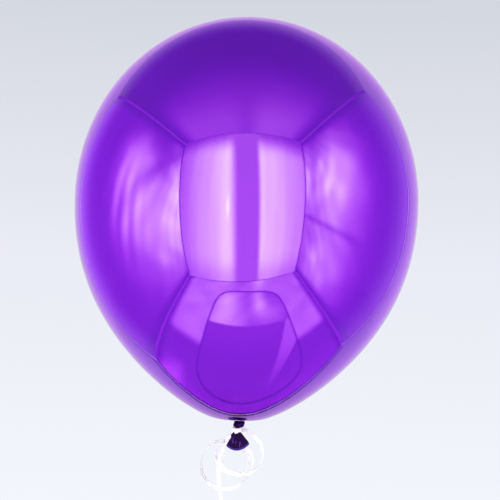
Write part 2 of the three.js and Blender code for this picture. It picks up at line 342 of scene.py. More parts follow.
curl_line = smooth_route(CURL_ROUTE, RIBBON_STEP)
curl_facing = np.tile(CURL_FACING, (len(curl_line), 1))
curled_ribbon = ribbon_strip("curled_ribbon", curl_line, curl_facing, ribbon_film)
# Both ends of the ribbon are left out of the skin's reflections.
for strip in (long_ribbon, curled_ribbon):
    strip.visible_glossy = False
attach(curled_ribbon, "curl")
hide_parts("ribbon_curl")


# ---- Ribbon tie ---------------------------------------------------------------------------
# Two turns of the same ribbon pulled tight round the neck, bunched so that they are narrower
# than the ribbon, and an overhand knot at the front that both ends leave.
TIE_TURNS = 2.2
TIE_RADIUS = 3.75 * MM
TIE_LAYER = 0.38 * MM
TIE_WIDTH = 3.1 * MM
TIE_SAG = 0.35 * MM
# Emission of the tie's film: painted light over the shade under the knot.
TIE_GLOW = 0.2
KNOT_PLACE = np.array((-0.9, -5.75, -0.8)) * MM
KNOT_WIDTH = 2.8 * MM
KNOT_GRIP, KNOT_LAYER = 1.15 * MM, 0.12 * MM
CORE_WIDTH, CORE_THICK = 1.8 * MM, 0.7 * MM
CORE_ROUTE = np.array([
    (-3.1, -5.9, -0.3),
    (-1.5, -5.75, -0.1),
    (0, -5.65, 0),
    (1.5, -5.65, 0.1),
    (3.1, -5.8, 0.2),
]) * MM

swing = np.linspace(0, TIE_TURNS * 2 * math.pi, 150)
radius = TIE_RADIUS + TIE_LAYER * swing / (2 * math.pi)
angle = swing - math.pi / 2 - 0.4
wraps_line = np.column_stack((radius * np.cos(angle), radius * np.sin(angle), TIE_SAG * np.sin(swing / 2)))
flare = 0.12 * np.column_stack((np.cos(angle * 3), np.sin(angle * 3), np.zeros_like(angle)))
upright = np.tile((0.0, 0.0, 1.0), (len(swing), 1)) + flare
# The tie's film glows more than the rest of the ribbon: painted light, lifting the shade that the knot casts
# on the wraps.
glowing_tie_film = ribbon_film.copy()
glowing_tie_film.name = "glowing_tie_film"
glowing_tie_film.node_tree.nodes["Principled BSDF"].inputs["Emission Strength"].default_value = TIE_GLOW
tie_wraps = ribbon_strip("tie_wraps", wraps_line, upright, glowing_tie_film, TIE_WIDTH, RIBBON_THICK, 0)
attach(tie_wraps, "tie")
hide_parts("ribbon_tie")

around_knot = np.linspace(0, 2.6 * math.pi, 90)
grip = KNOT_GRIP + KNOT_LAYER * around_knot / math.pi
knot_line = KNOT_PLACE + np.column_stack((
    0.5 * MM * (around_knot / math.pi - 1.3),
    grip * np.cos(around_knot + 0.4),
    grip * np.sin(around_knot + 0.4) * 1.15,
))
knot_facing = np.tile((1.0, 0.0, 0.25), (len(knot_line), 1))
tie_knot = ribbon_strip("tie_knot", knot_line, knot_facing, glowing_tie_film, KNOT_WIDTH, RIBBON_THICK, 0.2)
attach(tie_knot, "tie")
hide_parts("ribbon_knot")

# The ribbon goes through the knot from side to side, under its loop.
core_line = smooth_route(CORE_ROUTE, RIBBON_STEP / 4)
core_facing = np.tile((0.0, 0.3, 1.0), (len(core_line), 1))
knot_core = ribbon_strip("knot_core", core_line, core_facing, glowing_tie_film, CORE_WIDTH, CORE_THICK, 0)
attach(knot_core, "tie")


# ---- Paper band on the coil ---------------------------------------------------------------
# A strip of thin paper wrapped once round the coil and glued to itself where it overlaps.
BAND_WIDTH, BAND_THICK = 6 * MM, 0.18 * MM
BAND_OVERLAP = 1.12
BAND_INSET = 0.5 * MM
BAND_CORNER_POWER = 0.32
band_low, band_high = (np.array(corner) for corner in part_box("coil_band"))
band_paper, tree, shader = new_material("band_paper")
band_place = add(tree, "TexCoord")
fibre = add(tree, "TexNoise", {"Vector": band_place.outputs["Object"], "Scale": 2500.0, "Detail": 5.0})
paper_tone = add(tree, "ValToRGB", {"Fac": fibre.outputs["Fac"]})
paper_tone.color_ramp.elements[0].position = 0.35
paper_tone.color_ramp.elements[0].color = (0.74, 0.72, 0.78, 1)
paper_tone.color_ramp.elements[1].position = 0.65
paper_tone.color_ramp.elements[1].color = (0.86, 0.85, 0.89, 1)
paper_bump = add(tree, "Bump", {"Height": fibre.outputs["Fac"], "Strength": 0.3, "Distance": 0.00005})
tree.links.new(paper_tone.outputs["Color"], shader.inputs["Base Color"])
tree.links.new(paper_bump.outputs["Normal"], shader.inputs["Normal"])
shader.inputs["Roughness"].default_value = 0.75

middle = (band_low + band_high) / 2
reach = (band_high - band_low) / 2
turn = np.linspace(0, 2 * math.pi * BAND_OVERLAP, 130) + 0.6
loop_y = np.sign(np.cos(turn)) * np.abs(np.cos(turn)) ** BAND_CORNER_POWER * (reach[1] - BAND_INSET)
loop_z = np.sign(np.sin(turn)) * np.abs(np.sin(turn)) ** BAND_CORNER_POWER * (reach[2] - BAND_INSET)
overlap = np.linspace(0, 0.25 * MM, len(turn))[:, None]
band_line = middle + np.column_stack((np.zeros_like(turn), loop_y, loop_z))
band_line += unit(band_line - middle) * overlap
band_facing = np.tile((1.0, 0.0, 0.0), (len(turn), 1))
paper_band = ribbon_strip("paper_band", band_line, band_facing, band_paper, BAND_WIDTH, BAND_THICK, 0)
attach(paper_band, "lead")
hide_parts("coil_band")


# ---- Bubble -------------------------------------------------------------------------------
# The balloon's skin, stretched to a see-through film and held taut by the gas. It was dipped neck up, so the
# latex is thicker, and its colour deeper, at the throat; its darker colour at the crown is painted shade,
# for the dimmer light from above.
BUBBLE_RADIUS = 150 * MM
CROWN_HEIGHT = 161.7 * MM
POLE_DEPTH = 193.2 * MM
LOWER_PINCH, LOWER_PINCH_POWER = 0.26, 3.07
EQUATOR_Z = 200 * MM
SKIN = 0.3 * MM
THROAT_EDGE = np.array((8.7, 10.3)) * MM
BOTTOM_RADIUS = 29 * MM
BOTTOM_BEND = np.array((15.5, 10.0)) * MM
PLEAT_COUNT, PLEAT_DEPTH = 26, 0.16 * MM
SIDES = 256


def bubble_outline():
    """(radius, height) from the crown to the edge of the throat."""
    turn = np.linspace(0, math.pi / 2, 72)
    upper = np.column_stack((BUBBLE_RADIUS * np.sin(turn), EQUATOR_Z + CROWN_HEIGHT * np.cos(turn)))
    turn = np.linspace(0, math.pi / 2, 400)[1:]
    depth = np.sin(turn)
    radius = BUBBLE_RADIUS * np.cos(turn) * (1 - LOWER_PINCH * depth**LOWER_PINCH_POWER)
    lower = np.column_stack((radius, EQUATOR_Z - POLE_DEPTH * depth))
    lower = lower[radius > BOTTOM_RADIUS][::4]
    start = lower[-1]
    handle = start + unit(lower[-1] - lower[-2]) * 6 * MM
    t = np.linspace(0, 1, 26)[1:, None]
    bottom = ((1 - t) ** 3 * start + 3 * (1 - t) ** 2 * t * handle
              + 3 * (1 - t) * t**2 * BOTTOM_BEND + t**3 * THROAT_EDGE)
    return np.vstack((upper, lower, bottom))


def revolve(outline, sides, rule=None):
    """Rings of points about Z. rule moves each ring, given its points and angles."""
    angle = np.arange(sides) * 2 * math.pi / sides
    rings = []
    for radius, height in outline:
        ring = np.column_stack((radius * np.cos(angle), radius * np.sin(angle), np.full(sides, height)))
        rings.append(rule(ring, angle, radius, height) if rule else ring)
    return rings


def ring_faces(count, sides, loop=False):
    """Quads between count rings, and back to the first if loop."""
    faces = []
    for i in range(count if loop else count - 1):
        n = (i + 1) % count
        for j in range(sides):
            k = (j + 1) % sides
            faces.append((i * sides + j, n * sides + j, n * sides + k, i * sides + k))
    return faces


def bubble_pleats(ring, angle, radius, height):
    """Fine gathers where the skin meets the throat, fading out up the bubble."""
    if height > 0.1:
        return ring
    strength = PLEAT_DEPTH * math.exp(-((radius - 8 * MM) / (7 * MM)))
    wave = np.cos(angle * PLEAT_COUNT) + 0.6 * np.cos(angle * (PLEAT_COUNT * 0.5 + 4) + 1.3)
    ring[:, 2] += strength * wave
    return ring


outer = bubble_outline()
normals = unit(np.gradient(outer, axis=0))
inner = outer + np.column_stack((normals[:, 1], -normals[:, 0])) * SKIN
rings = revolve(outer[1:], SIDES, bubble_pleats) + revolve(inner[:0:-1], SIDES, bubble_pleats)
places = np.vstack((*rings, [(0, 0, outer[0, 1])], [(0, 0, outer[0, 1] - SKIN)]))
faces = ring_faces(len(rings), SIDES)
top, under = len(places) - 2, len(places) - 1
last_ring = (len(rings) - 1) * SIDES
for j in range(SIDES):
    k = (j + 1) % SIDES
    faces.append((top, j, k))
    faces.append((under, last_ring + k, last_ring + j))

# Pigment that isn't spread quite evenly: cloudy.
clouds, given, result = new_group(
    "pigment_clouds",
    [("Cloud Size", "NodeSocketFloat", 12.0), ("Amount", "NodeSocketFloat", 0.1)],
    [("Tone", "NodeSocketFloat")],
)
where = add(clouds, "TexCoord")
cloud = add(clouds, "TexNoise", {"Vector": where.outputs["Object"], "Scale": given.outputs[0],
                                 "Detail": 5.0, "Roughness": 0.6})
around_one = add(clouds, "Math", {0: cloud.outputs["Fac"], 1: 0.5}, operation="SUBTRACT")
spread = add(clouds, "Math", {0: around_one.outputs[0], 1: given.outputs[1]}, operation="MULTIPLY")
clouds.links.new(spread.outputs[0], result.inputs["Tone"])

stretched_latex, tree, shader = new_material("stretched_latex")
skin_place = add(tree, "TexCoord")
skin_xyz = add(tree, "SeparateXYZ", {0: skin_place.outputs["Object"]})
skin_clouds = use_group(tree, clouds, Cloud_Size=14.0, Amount=0.05)
# Colour by height: deeper near the throat, where the latex is thicker, and darker near the crown, which is
# painted shade.
height = add(tree, "MapRange", {"Value": skin_xyz.outputs["Z"], "From Min": 0.0, "From Max": 0.362})
toned = add(tree, "Math", {0: height.outputs["Result"], 1: skin_clouds.outputs["Tone"]}, operation="ADD")
skin_tone_and_shade = add(tree, "ValToRGB", {"Fac": toned.outputs[0]})
ramp = skin_tone_and_shade.color_ramp
ramp.elements[0].position = 0.03
ramp.elements[0].color = (0.28, 0.06, 0.56, 1)
ramp.elements[1].position = 1.0
ramp.elements[1].color = (0.37, 0.11, 0.66, 1)
for position, colour in (
    (0.09, (0.40, 0.10, 0.73)),
    (0.15, (0.44, 0.12, 0.80)),
    (0.30, (0.46, 0.12, 0.83)),
    (0.66, (0.45, 0.12, 0.82)),
    (0.80, (0.43, 0.12, 0.78)),
    (0.92, (0.38, 0.11, 0.70)),
):
    ramp.elements.new(position).color = (*colour, 1)
skin_marks = use_group(tree, marks, Smear_Size=9.0, Speck_Size=420.0)
skin_rough = add(tree, "MapRange", {"Value": skin_marks.outputs["Smears"], "From Min": 0.35,
                                    "From Max": 0.75, "To Min": 0.004, "To Max": 0.02})
skin_bump = add(tree, "Bump", {"Height": skin_marks.outputs["Specks"], "Strength": 0.02,
                               "Distance": 0.00005})
tree.links.new(skin_tone_and_shade.outputs["Color"], shader.inputs["Base Color"])
tree.links.new(skin_rough.outputs["Result"], shader.inputs["Roughness"])
tree.links.new(skin_bump.outputs["Normal"], shader.inputs["Normal"])
shader.inputs["Transmission Weight"].default_value = 1.0
shader.inputs["IOR"].default_value = 1.5

bubble_skin = new_piece("bubble_skin", places, faces, stretched_latex)
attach(bubble_skin, "bubble")
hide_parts("bubble")


# ---- Throat -------------------------------------------------------------------------------
# The ring of hardly stretched latex at the bottom of the bubble, gathered by the knot below it.
def thick_latex(name, dark, bright, roughness=(0.35, 0.55)):
    """Unstretched latex, hardly see-through, with a dull bloom and fine wrinkles."""
    made, tree, shader = new_material(name)
    uneven = use_group(tree, clouds, Cloud_Size=220.0, Amount=0.9)
    tone = add(tree, "Math", {0: uneven.outputs["Tone"], 1: 0.5}, operation="ADD")
    colour = add(tree, "ValToRGB", {"Fac": tone.outputs[0]})
    colour.color_ramp.elements[0].position = 0.3
    colour.color_ramp.elements[0].color = (*dark, 1)
    colour.color_ramp.elements[1].position = 0.75
    colour.color_ramp.elements[1].color = (*bright, 1)
    bloom = use_group(tree, marks, Smear_Size=300.0, Speck_Size=2600.0)
    rough = add(tree, "MapRange", {"Value": bloom.outputs["Smears"], "From Min": 0.3, "From Max": 0.75,
                                   "To Min": roughness[0], "To Max": roughness[1]})
    place = add(tree, "TexCoord")
    wrinkle = add(tree, "TexNoise", {"Vector": place.outputs["Object"], "Scale": 900.0, "Detail": 4.0})
    bump = add(tree, "Bump", {"Height": wrinkle.outputs["Fac"], "Strength": 0.35, "Distance": 0.0001})
    tree.links.new(colour.outputs["Color"], shader.inputs["Base Color"])
    tree.links.new(rough.outputs["Result"], shader.inputs["Roughness"])
    tree.links.new(bump.outputs["Normal"], shader.inputs["Normal"])
    shader.inputs["Specular IOR Level"].default_value = 0.03
    return made


COLLAR_SIDES = 208
throat_latex = thick_latex("throat_latex", (0.045, 0.004, 0.18), (0.09, 0.012, 0.32))


def throat_pleats(ring, angle, radius, height):
    share = min(1, max(0, (radius - 4 * MM) / (4 * MM)))
    ring[:, 2] += 0.28 * MM * share * np.cos(angle * PLEAT_COUNT)
    ring[:, :2] *= 1 + 0.025 * share * np.cos(angle * 7 + 1)[:, None]
    return ring


collar_outline = np.array([(3.75, 10.3), (5.2, 10.2), (6.8, 10.6), (7.9, 11.1), (8.4, 11.8), (8.25, 12.8),
                           (7.3, 13.5), (5.6, 13.8), (4.4, 13.6), (3.75, 12.6)]) * MM
collar_rings = revolve(collar_outline, COLLAR_SIDES, throat_pleats)
throat_collar = new_piece("throat_collar", np.vstack(collar_rings),
                          ring_faces(len(collar_rings), COLLAR_SIDES, loop=True), throat_latex)
throat_collar.data.flip_normals()
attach(throat_collar, "bubble")
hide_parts("throat")


# ---- Neck ---------------------------------------------------------------------------------
# A few millimetres of latex twisted shut between the throat and the knot. It is round about the
# point that the bubble leans on, so that it stays closed when the bubble leans.
NECK_RADIUS = 3.4 * MM
LEAN_Z = 11 * MM
NECK_SIDES = 132
dense_latex = thick_latex("dense_latex", (0.008, 0.0004, 0.026), (0.026, 0.003, 0.085))
tilt = np.linspace(-1.25, 0.55, 22)
neck_outline = np.column_stack((NECK_RADIUS * np.cos(tilt), LEAN_Z + NECK_RADIUS * np.sin(tilt)))


def neck_twist_rule(ring, angle, radius, height):
    twist = (height - LEAN_Z) / NECK_RADIUS
    ring[:, :2] *= 1 - 0.07 * (1 + np.cos(angle * 11 + twist * 2.2))[:, None] / 2
    return ring


neck_rings = revolve(neck_outline, NECK_SIDES, neck_twist_rule)
neck_faces = ring_faces(len(neck_rings), NECK_SIDES)
neck_places = np.vstack((*neck_rings, [(0, 0, neck_outline[0, 1])], [(0, 0, neck_outline[-1, 1])]))
last = (len(neck_rings) - 1) * NECK_SIDES
for j in range(NECK_SIDES):
    k = (j + 1) % NECK_SIDES
    neck_faces.append((len(neck_places) - 2, j, k))
    neck_faces.append((len(neck_places) - 1, last + k, last + j))
neck_twist = new_piece("neck_twist", neck_places, neck_faces, dense_latex)
neck_twist.data.flip_normals()
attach(neck_twist, "neck")
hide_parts("neck")


# ---- Knot ---------------------------------------------------------------------------------
# The neck was stretched, wound once round two fingers and pulled through itself. What shows is
# a fat roll with two folds of latex crossing it on the slant.
KNOT_MIDDLE = np.array((1.2, 0, 5.0)) * MM


def closed_band(radius, tilt, tilt_way, thick, high, count=72, sides=20):
    """A closed roll of latex about Z: its ring's radius, how far it tips, and its section."""
    around = np.arange(count) * 2 * math.pi / count
    section = np.arange(sides) * 2 * math.pi / sides
    rings = []
    blunt_cos = np.sign(np.cos(section)) * np.abs(np.cos(section)) ** 0.7
    blunt_sin = np.sign(np.sin(section)) * np.abs(np.sin(section)) ** 0.7
    for a in around:
        out = np.array((math.cos(a), math.sin(a), 0))
        centre = KNOT_MIDDLE + out * radius + (0, 0, tilt * math.cos(a - tilt_way))
        rise = np.array((0, 0, high)) * blunt_sin[:, None]
        rings.append(centre + out * thick * blunt_cos[:, None] + rise)
    return np.vstack(rings), ring_faces(count, sides, loop=True)


knot_parts = [
    closed_band(2.5 * MM, 0.3 * MM, 0.3, 2.2 * MM, 2.55 * MM),
    closed_band(4.1 * MM, 1.3 * MM, -0.3, 1.0 * MM, 1.35 * MM),
    closed_band(3.7 * MM, 1.5 * MM, 2.2, 0.9 * MM, 0.9 * MM),
]
knot_places, knot_faces = [], []
for part_places, part_faces in knot_parts:
    shift = sum(len(p) for p in knot_places)
    knot_places.append(part_places)
    knot_faces += [tuple(i + shift for i in face) for face in part_faces]
latex_knot = new_piece("latex_knot", np.vstack(knot_places), knot_faces, dense_latex)


def apply_modifiers(piece):
    """Puts what the modifiers make into the mesh."""
    view = bpy.context.evaluated_depsgraph_get()
    made = bpy.data.meshes.new_from_object(piece.evaluated_get(view), depsgraph=view)
    piece.modifiers.clear()
    piece.data = made
    made.polygons.foreach_set("use_smooth", [True] * len(made.polygons))


fused = latex_knot.modifiers.new("fuse", "REMESH")
fused.mode = "VOXEL"
fused.voxel_size = 0.17 * MM
eased = latex_knot.modifiers.new("ease", "SMOOTH")
eased.factor = 0.5
eased.iterations = 3
apply_modifiers(latex_knot)
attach(latex_knot, "tied_end")
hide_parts("knot")


# ---- Tail and rolled lip ------------------------------------------------------------------
# The mouth of the balloon below the knot: unstretched latex, gathered at the tie and pressed
# flat towards the lip. The lip is the bead that was rolled down the mould to strip the balloon.
STEM_RADIUS = 2.8 * MM
TAIL_TOP, TAIL_BOTTOM = 1.6 * MM, -16.8 * MM
TAIL_FLARE = 15 * MM
TAIL_HALF_WIDTH, TAIL_HALF_THICK = 10.7 * MM, 2.0 * MM
TAIL_SHIFT = -0.3 * MM
LATEX_THICK = 0.45 * MM
LIP_BOW = 7.8 * MM
LIP_RADIUS = 0.95 * MM
TAIL_SIDES = 180
LIP_SIDES = 20


def tail_ring(height, inset=0.0):
    """One ring of the tail: round at the tie, wide and flat at the mouth, gathered between."""
    angle = np.arange(TAIL_SIDES) * 2 * math.pi / TAIL_SIDES
    depth = max(0, -2 * MM - height)
    spread = math.sin(math.pi / 2 * min(1, depth / TAIL_FLARE)) ** 0.9
    half_width = STEM_RADIUS + (TAIL_HALF_WIDTH - STEM_RADIUS) * spread - inset
    half_thick = STEM_RADIUS + (TAIL_HALF_THICK - STEM_RADIUS) * min(1, depth / (8 * MM)) - inset
    gather = math.exp(-depth / (5 * MM))
    folds = np.cos(angle * 9 + 0.7) + 0.5 * np.cos(angle * 17)
    scale = 1 - 0.07 * gather * (1 + folds / 1.5)
    x = half_width * np.cos(angle) * scale
    y = half_thick * np.sin(angle) * scale
    y += 0.35 * MM * spread * np.sin(x / half_width * 5 + 0.6) * (1 - 0.5 * spread)
    share = (depth / (TAIL_TOP - TAIL_BOTTOM)) ** 1.5
    z = height + LIP_BOW * (x / TAIL_HALF_WIDTH) ** 2 * share
    return np.column_stack((x + TAIL_SHIFT * spread, y, z))


heights = np.linspace(TAIL_TOP, TAIL_BOTTOM, 64)
inner_heights = np.linspace(TAIL_BOTTOM, -6 * MM, 34)
tail_rings = [tail_ring(z) for z in heights] + [tail_ring(z, LATEX_THICK) for z in inner_heights]
tail_places = np.vstack((*tail_rings, [(0, 0, TAIL_TOP)], [tail_rings[-1].mean(0)]))
tail_faces = ring_faces(len(tail_rings), TAIL_SIDES)
last = (len(tail_rings) - 1) * TAIL_SIDES
for j in range(TAIL_SIDES):
    k = (j + 1) % TAIL_SIDES
    tail_faces.append((len(tail_places) - 2, j, k))
    tail_faces.append((len(tail_places) - 1, last + k, last + j))

# The mouth is thinner than the knot. Violet streaks low in its middle are painted light in the base colour,
# standing in for light coming through the latex.
mouth_latex, tree, shader = new_material("mouth_latex")
mouth_place = add(tree, "TexCoord")
mouth_xyz = add(tree, "SeparateXYZ", {0: mouth_place.outputs["Object"]})
drawn = add(tree, "Mapping", {"Vector": mouth_place.outputs["Object"], "Scale": (520.0, 200.0, 150.0)})
streak = add(tree, "TexNoise", {"Vector": drawn.outputs["Vector"], "Scale": 1.0, "Detail": 3.0})
lowness = add(tree, "MapRange", {"Value": mouth_xyz.outputs["Z"], "From Min": -0.006, "From Max": -0.012})
amidst = add(tree, "Math", {0: mouth_xyz.outputs["X"]}, operation="ABSOLUTE")
inside = add(tree, "MapRange", {"Value": amidst.outputs[0], "From Min": 0.007, "From Max": 0.003})
# Painted light: where the violet streaks go, low and near the middle of the mouth.
lit = add(tree, "Math", {0: lowness.outputs["Result"], 1: inside.outputs["Result"]}, operation="MULTIPLY")
streaky = add(tree, "MapRange", {"Value": streak.outputs["Fac"], "From Min": 0.50, "From Max": 0.72})
painted_light_streaks = add(tree, "Math", {0: lit.outputs[0], 1: streaky.outputs["Result"]}, operation="MULTIPLY")
mouth_colour = add(tree, "ValToRGB", {"Fac": painted_light_streaks.outputs[0]})
mouth_colour.color_ramp.elements[0].color = (0.005, 0.0003, 0.016, 1)
mouth_colour.color_ramp.elements[1].color = (0.14, 0.06, 0.45, 1)
mouth_marks = use_group(tree, marks, Smear_Size=300.0, Speck_Size=2600.0)
mouth_rough = add(tree, "MapRange", {"Value": mouth_marks.outputs["Smears"], "From Min": 0.3,
                                     "From Max": 0.75, "To Min": 0.3, "To Max": 0.5})
mouth_bump = add(tree, "Bump", {"Height": streak.outputs["Fac"], "Strength": 0.5, "Distance": 0.0002})
tree.links.new(mouth_colour.outputs["Color"], shader.inputs["Base Color"])
tree.links.new(mouth_rough.outputs["Result"], shader.inputs["Roughness"])
tree.links.new(mouth_bump.outputs["Normal"], shader.inputs["Normal"])
shader.inputs["Specular IOR Level"].default_value = 0.03

flat_tail = new_piece("flat_tail", tail_places, tail_faces, mouth_latex)
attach(flat_tail, "tied_end")
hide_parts("tail")

mouth = tail_ring(TAIL_BOTTOM, LATEX_THICK / 2)
section = np.arange(LIP_SIDES) * 2 * math.pi / LIP_SIDES
lip_rings = []
centre_line = mouth - np.array((0, 0, LIP_RADIUS * 0.7))
tangents = unit(np.roll(centre_line, -1, axis=0) - np.roll(centre_line, 1, axis=0))
for at, tangent in zip(centre_line, tangents):
    side = unit(np.cross(tangent, (0, 0, 1.0)))
    over = np.cross(side, tangent)
    lip_rings.append(at + side * LIP_RADIUS * np.cos(section)[:, None] * 0.85
                     + over * LIP_RADIUS * np.sin(section)[:, None])
# The bead is rolled up on itself, with fine lines round it.
lip_latex, tree, shader = new_material("lip_latex")
lip_place = add(tree, "TexCoord")
rolls = add(tree, "TexWave", {"Vector": lip_place.outputs["Object"], "Scale": 700.0, "Distortion": 2.0},
            bands_direction="Z")
lip_clouds = use_group(tree, clouds, Cloud_Size=300.0, Amount=0.8)
lip_tone = add(tree, "Math", {0: lip_clouds.outputs["Tone"], 1: 0.5}, operation="ADD")
lip_colour = add(tree, "ValToRGB", {"Fac": lip_tone.outputs[0]})
# The bead's violet is lighter than the near-black tail's: painted light, for the bead catching more light.
lip_colour.color_ramp.elements[0].color = (0.020, 0.009, 0.12, 1)
lip_colour.color_ramp.elements[1].color = (0.055, 0.030, 0.27, 1)
lip_bump = add(tree, "Bump", {"Height": rolls.outputs["Fac"], "Strength": 0.3, "Distance": 0.0001})
tree.links.new(lip_colour.outputs["Color"], shader.inputs["Base Color"])
tree.links.new(lip_bump.outputs["Normal"], shader.inputs["Normal"])
shader.inputs["Roughness"].default_value = 0.45
shader.inputs["Specular IOR Level"].default_value = 0.05

lip_faces = ring_faces(len(lip_rings), LIP_SIDES, loop=True)
lip_bead = new_piece("lip_bead", np.vstack(lip_rings), lip_faces, lip_latex)
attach(lip_bead, "tied_end")
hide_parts("rolled_lip")


# ---- Studio -------------------------------------------------------------------------------
# A cloth light tent round the balloon. Its panels glow, as if lit from outside, and show only as
# reflections in the skin. Its corners are in millimetres from the middle of the bubble. The front
# is two curtains with a gap between them, and a flap is cut in the floor.
CAGE = {
    "front left top": (-407, -505, 305),
    "front right top": (334, -520, 340),
    "front left low": (-292, -430, -327),
    "front right low": (322, -510, -327),
    "back left top": (-407, 225, 297),
    "back right top": (335, 110, 325),
    "back left low": (-222, 78, -327),
    "back right low": (300, 75, -327),
}
CLOTH_LIGHT = 17.0
LEAK_REACH = 170
SCREEN_MIDDLE = (0, 0.9, 0.15)
SCREEN_LIGHT = 1.8
LAMP_POWER, LAMP_SIZE = 15, 0.9
FLOOR_RADIUS, FLOOR_Z, FLOOR_SIDES = 1.1, -0.36, 96

cloth, tree, shader = new_material("tent_cloth")
tone_value = add(tree, "Attribute", attribute_name="tone")
squared = add(tree, "Math", {0: tone_value.outputs["Fac"], 1: 2.0}, operation="POWER")
green = add(tree, "Math", {0: squared.outputs[0], 1: 0.68}, operation="MULTIPLY")
blue = add(tree, "Math", {0: tone_value.outputs["Fac"], 1: 0.68}, operation="POWER")
haze_value = add(tree, "Attribute", attribute_name="haze")
haze_colour = add(tree, "VectorMath", {0: (0.034, 0.022, 0.028), "Scale": haze_value.outputs["Fac"]},
                  operation="SCALE")
cloth_colour = add(tree, "CombineColor", {0: tone_value.outputs["Fac"], 1: green.outputs[0],
                                          2: blue.outputs[0]})
cloth_light = add(tree, "VectorMath", {0: cloth_colour.outputs[0], 1: haze_colour.outputs[0]},
                  operation="ADD")
tree.links.new(cloth_light.outputs[0], shader.inputs["Emission Color"])
shader.inputs["Emission Strength"].default_value = CLOTH_LIGHT
shader.inputs["Base Color"].default_value = (0, 0, 0, 1)
shader.inputs["Specular IOR Level"].default_value = 0


def step(value, low, high):
    """0 below low, 1 above high, and smooth between. low may be the larger."""
    t = np.clip((value - low) / (high - low), 0, 1)
    return t * t * (3 - 2 * t)


def spot(a, b, at_a, at_b, reach_a, reach_b, strength):
    """A soft round patch of light about a point of a panel."""
    return strength * np.exp(-(((a - at_a) / reach_a) ** 2) - ((b - at_b) / reach_b) ** 2)


def crumple(a, b, strength):
    """Soft uneven creases in hanging cloth, around 1."""
    creases = np.sin(a / 23 + 1.7 * np.sin(b / 41)) + 0.8 * np.sin(b / 17 + 1.3 * np.sin(a / 37 + 1))
    creases += 0.7 * np.sin((a + 0.7 * b) / 13 + 2 * np.sin(a / 61) + 2 * np.sin(b / 53))
    return 1 + strength * creases


def lit_cloth(name, places, faces, tone, haze=None):
    """A panel that only reflections see, with a brightness at each point."""
    panel = new_piece(name, np.asarray(places) * MM + (0, 0, EQUATOR_Z), faces, cloth, smooth=False)
    panel.data.attributes.new("tone", "FLOAT", "POINT").data.foreach_set("value", np.maximum(tone, 0.0001))
    if haze is not None:
        panel.data.attributes.new("haze", "FLOAT", "POINT").data.foreach_set("value", haze)
    panel.visible_camera = False
    panel.visible_diffuse = False
    panel.visible_transmission = False
    panel.visible_shadow = False
    return panel


def tent_side(name, corners, tone, dark_edges, back_edge=None, cells=260):
    """A side of the tent between four corners. dark_edges is how wide a shaded band runs along
    the first, second, third and fourth edge. back_edge is the one that light leaks in at."""
    a, b, c, d = (np.array(CAGE[corner], float) for corner in corners)
    u, v = (grid.reshape(-1, 1) for grid in np.meshgrid(np.linspace(0, 1, cells), np.linspace(0, 1, cells)))
    places = (a * (1 - u) + b * u) * (1 - v) + (d * (1 - u) + c * u) * v
    wide, tall = np.linalg.norm(b - a), np.linalg.norm(d - a)
    shades = ((v * tall, 0), ((1 - u) * wide, 1), ((1 - v) * tall, 2), (u * wide, 3))
    shade = np.prod([step(away, 0, dark_edges[edge]) for away, edge in shades if dark_edges[edge]], axis=0)
    faces = [(i * cells + j, i * cells + j + 1, (i + 1) * cells + j + 1, (i + 1) * cells + j)
             for i in range(cells - 1) for j in range(cells - 1)]
    x, y, z = places.T
    haze = np.zeros(len(places)) if back_edge is None else step(shades[back_edge][0], LEAK_REACH, 0).ravel()
    lit_cloth(name, places, faces, tone(x, y, z) * shade.ravel(), haze)


def front_tone(x, y, z):
    gap_left = -52 - 38 * ((z + 327) / 613) ** 2
    gap_right = 62 - 0.048 * z
    left = 1.09 - 0.84 * (gap_left - x) / 330
    right = 1.05 - 0.52 * (x - gap_right) / 270
    on_left = step(x, gap_left + 32, gap_left - 20)
    on_right = step(x, gap_right - 14, gap_right + 16)
    curtains = np.maximum(left, 0.24) * on_left + right * on_right
    gap = 0.34 * (1 - on_left) * (1 - on_right)
    edge_glow = spot(x, z, -80, -25, 4, 30, 0.5)
    folds = 1 + 0.03 * np.sin(x / 21 + np.sin(z / 90)) + 0.02 * np.sin(x / 9)
    return ((0.25 + 0.75 * step(z, 330, 190)) * (0.70 + 0.30 * step(z, -327, -190)) * curtains * folds
            + gap + edge_glow)


SIDE_VEIL = 0.04


def left_tone(x, y, z):
    tone = spot(y, z, -370, -85, 165, 185, 0.76) + spot(y, z, -205, 140, 85, 80, 0.24)
    tone += spot(y, z, -470, 60, 70, 190, 0.52) + spot(y, z, -175, 20, 85, 120, 0.48)
    fold = (z - 190) - (y + 430) * (-0.66)
    tone *= 1 - 0.35 * np.exp(-(fold / 34) ** 2) * step(y, -90, -160)
    wrinkle = np.sin(y / 9 + z / 31) * spot(y, z, -120, -30, 80, 110, 0.4)
    wrinkle += np.sin(z / 17 - y / 23) * spot(y, z, -330, -190, 150, 60, 0.12)
    return tone * (1 + wrinkle) * crumple(y, z, 0.06) * step(y, 10, -130) + SIDE_VEIL


def right_tone(x, y, z):
    tone = spot(y, z, -315, 85, 145, 160, 0.84) + spot(y, z, -350, -205, 175, 130, 0.54)
    tone += spot(y, z, -500, 110, 50, 190, 0.5)
    fold = z + 46 + (y + 520) * 0.1
    tone *= 1 - 0.42 * np.exp(-(fold / 12) ** 2) * step(y, -90, -200)
    wrinkle = np.sin(y / 15 - z / 40) * spot(y, z, -350, 110, 90, 110, 0.14)
    wrinkle += np.sin(z / 19 + y / 29) * spot(y, z, -400, -190, 110, 80, 0.12)
    return tone * (1 + wrinkle) * crumple(y, z + 90, 0.07) * step(y, -10, -190) + 0.7 * SIDE_VEIL


def top_tone(x, y, z):
    front_glow = 1 + spot(x, y, 90, -480, 110, 300, 0.25) - spot(x, y, -10, -480, 50, 300, 0.35)
    return 0.24 * step(y, -90, -430) * front_glow + 0.01


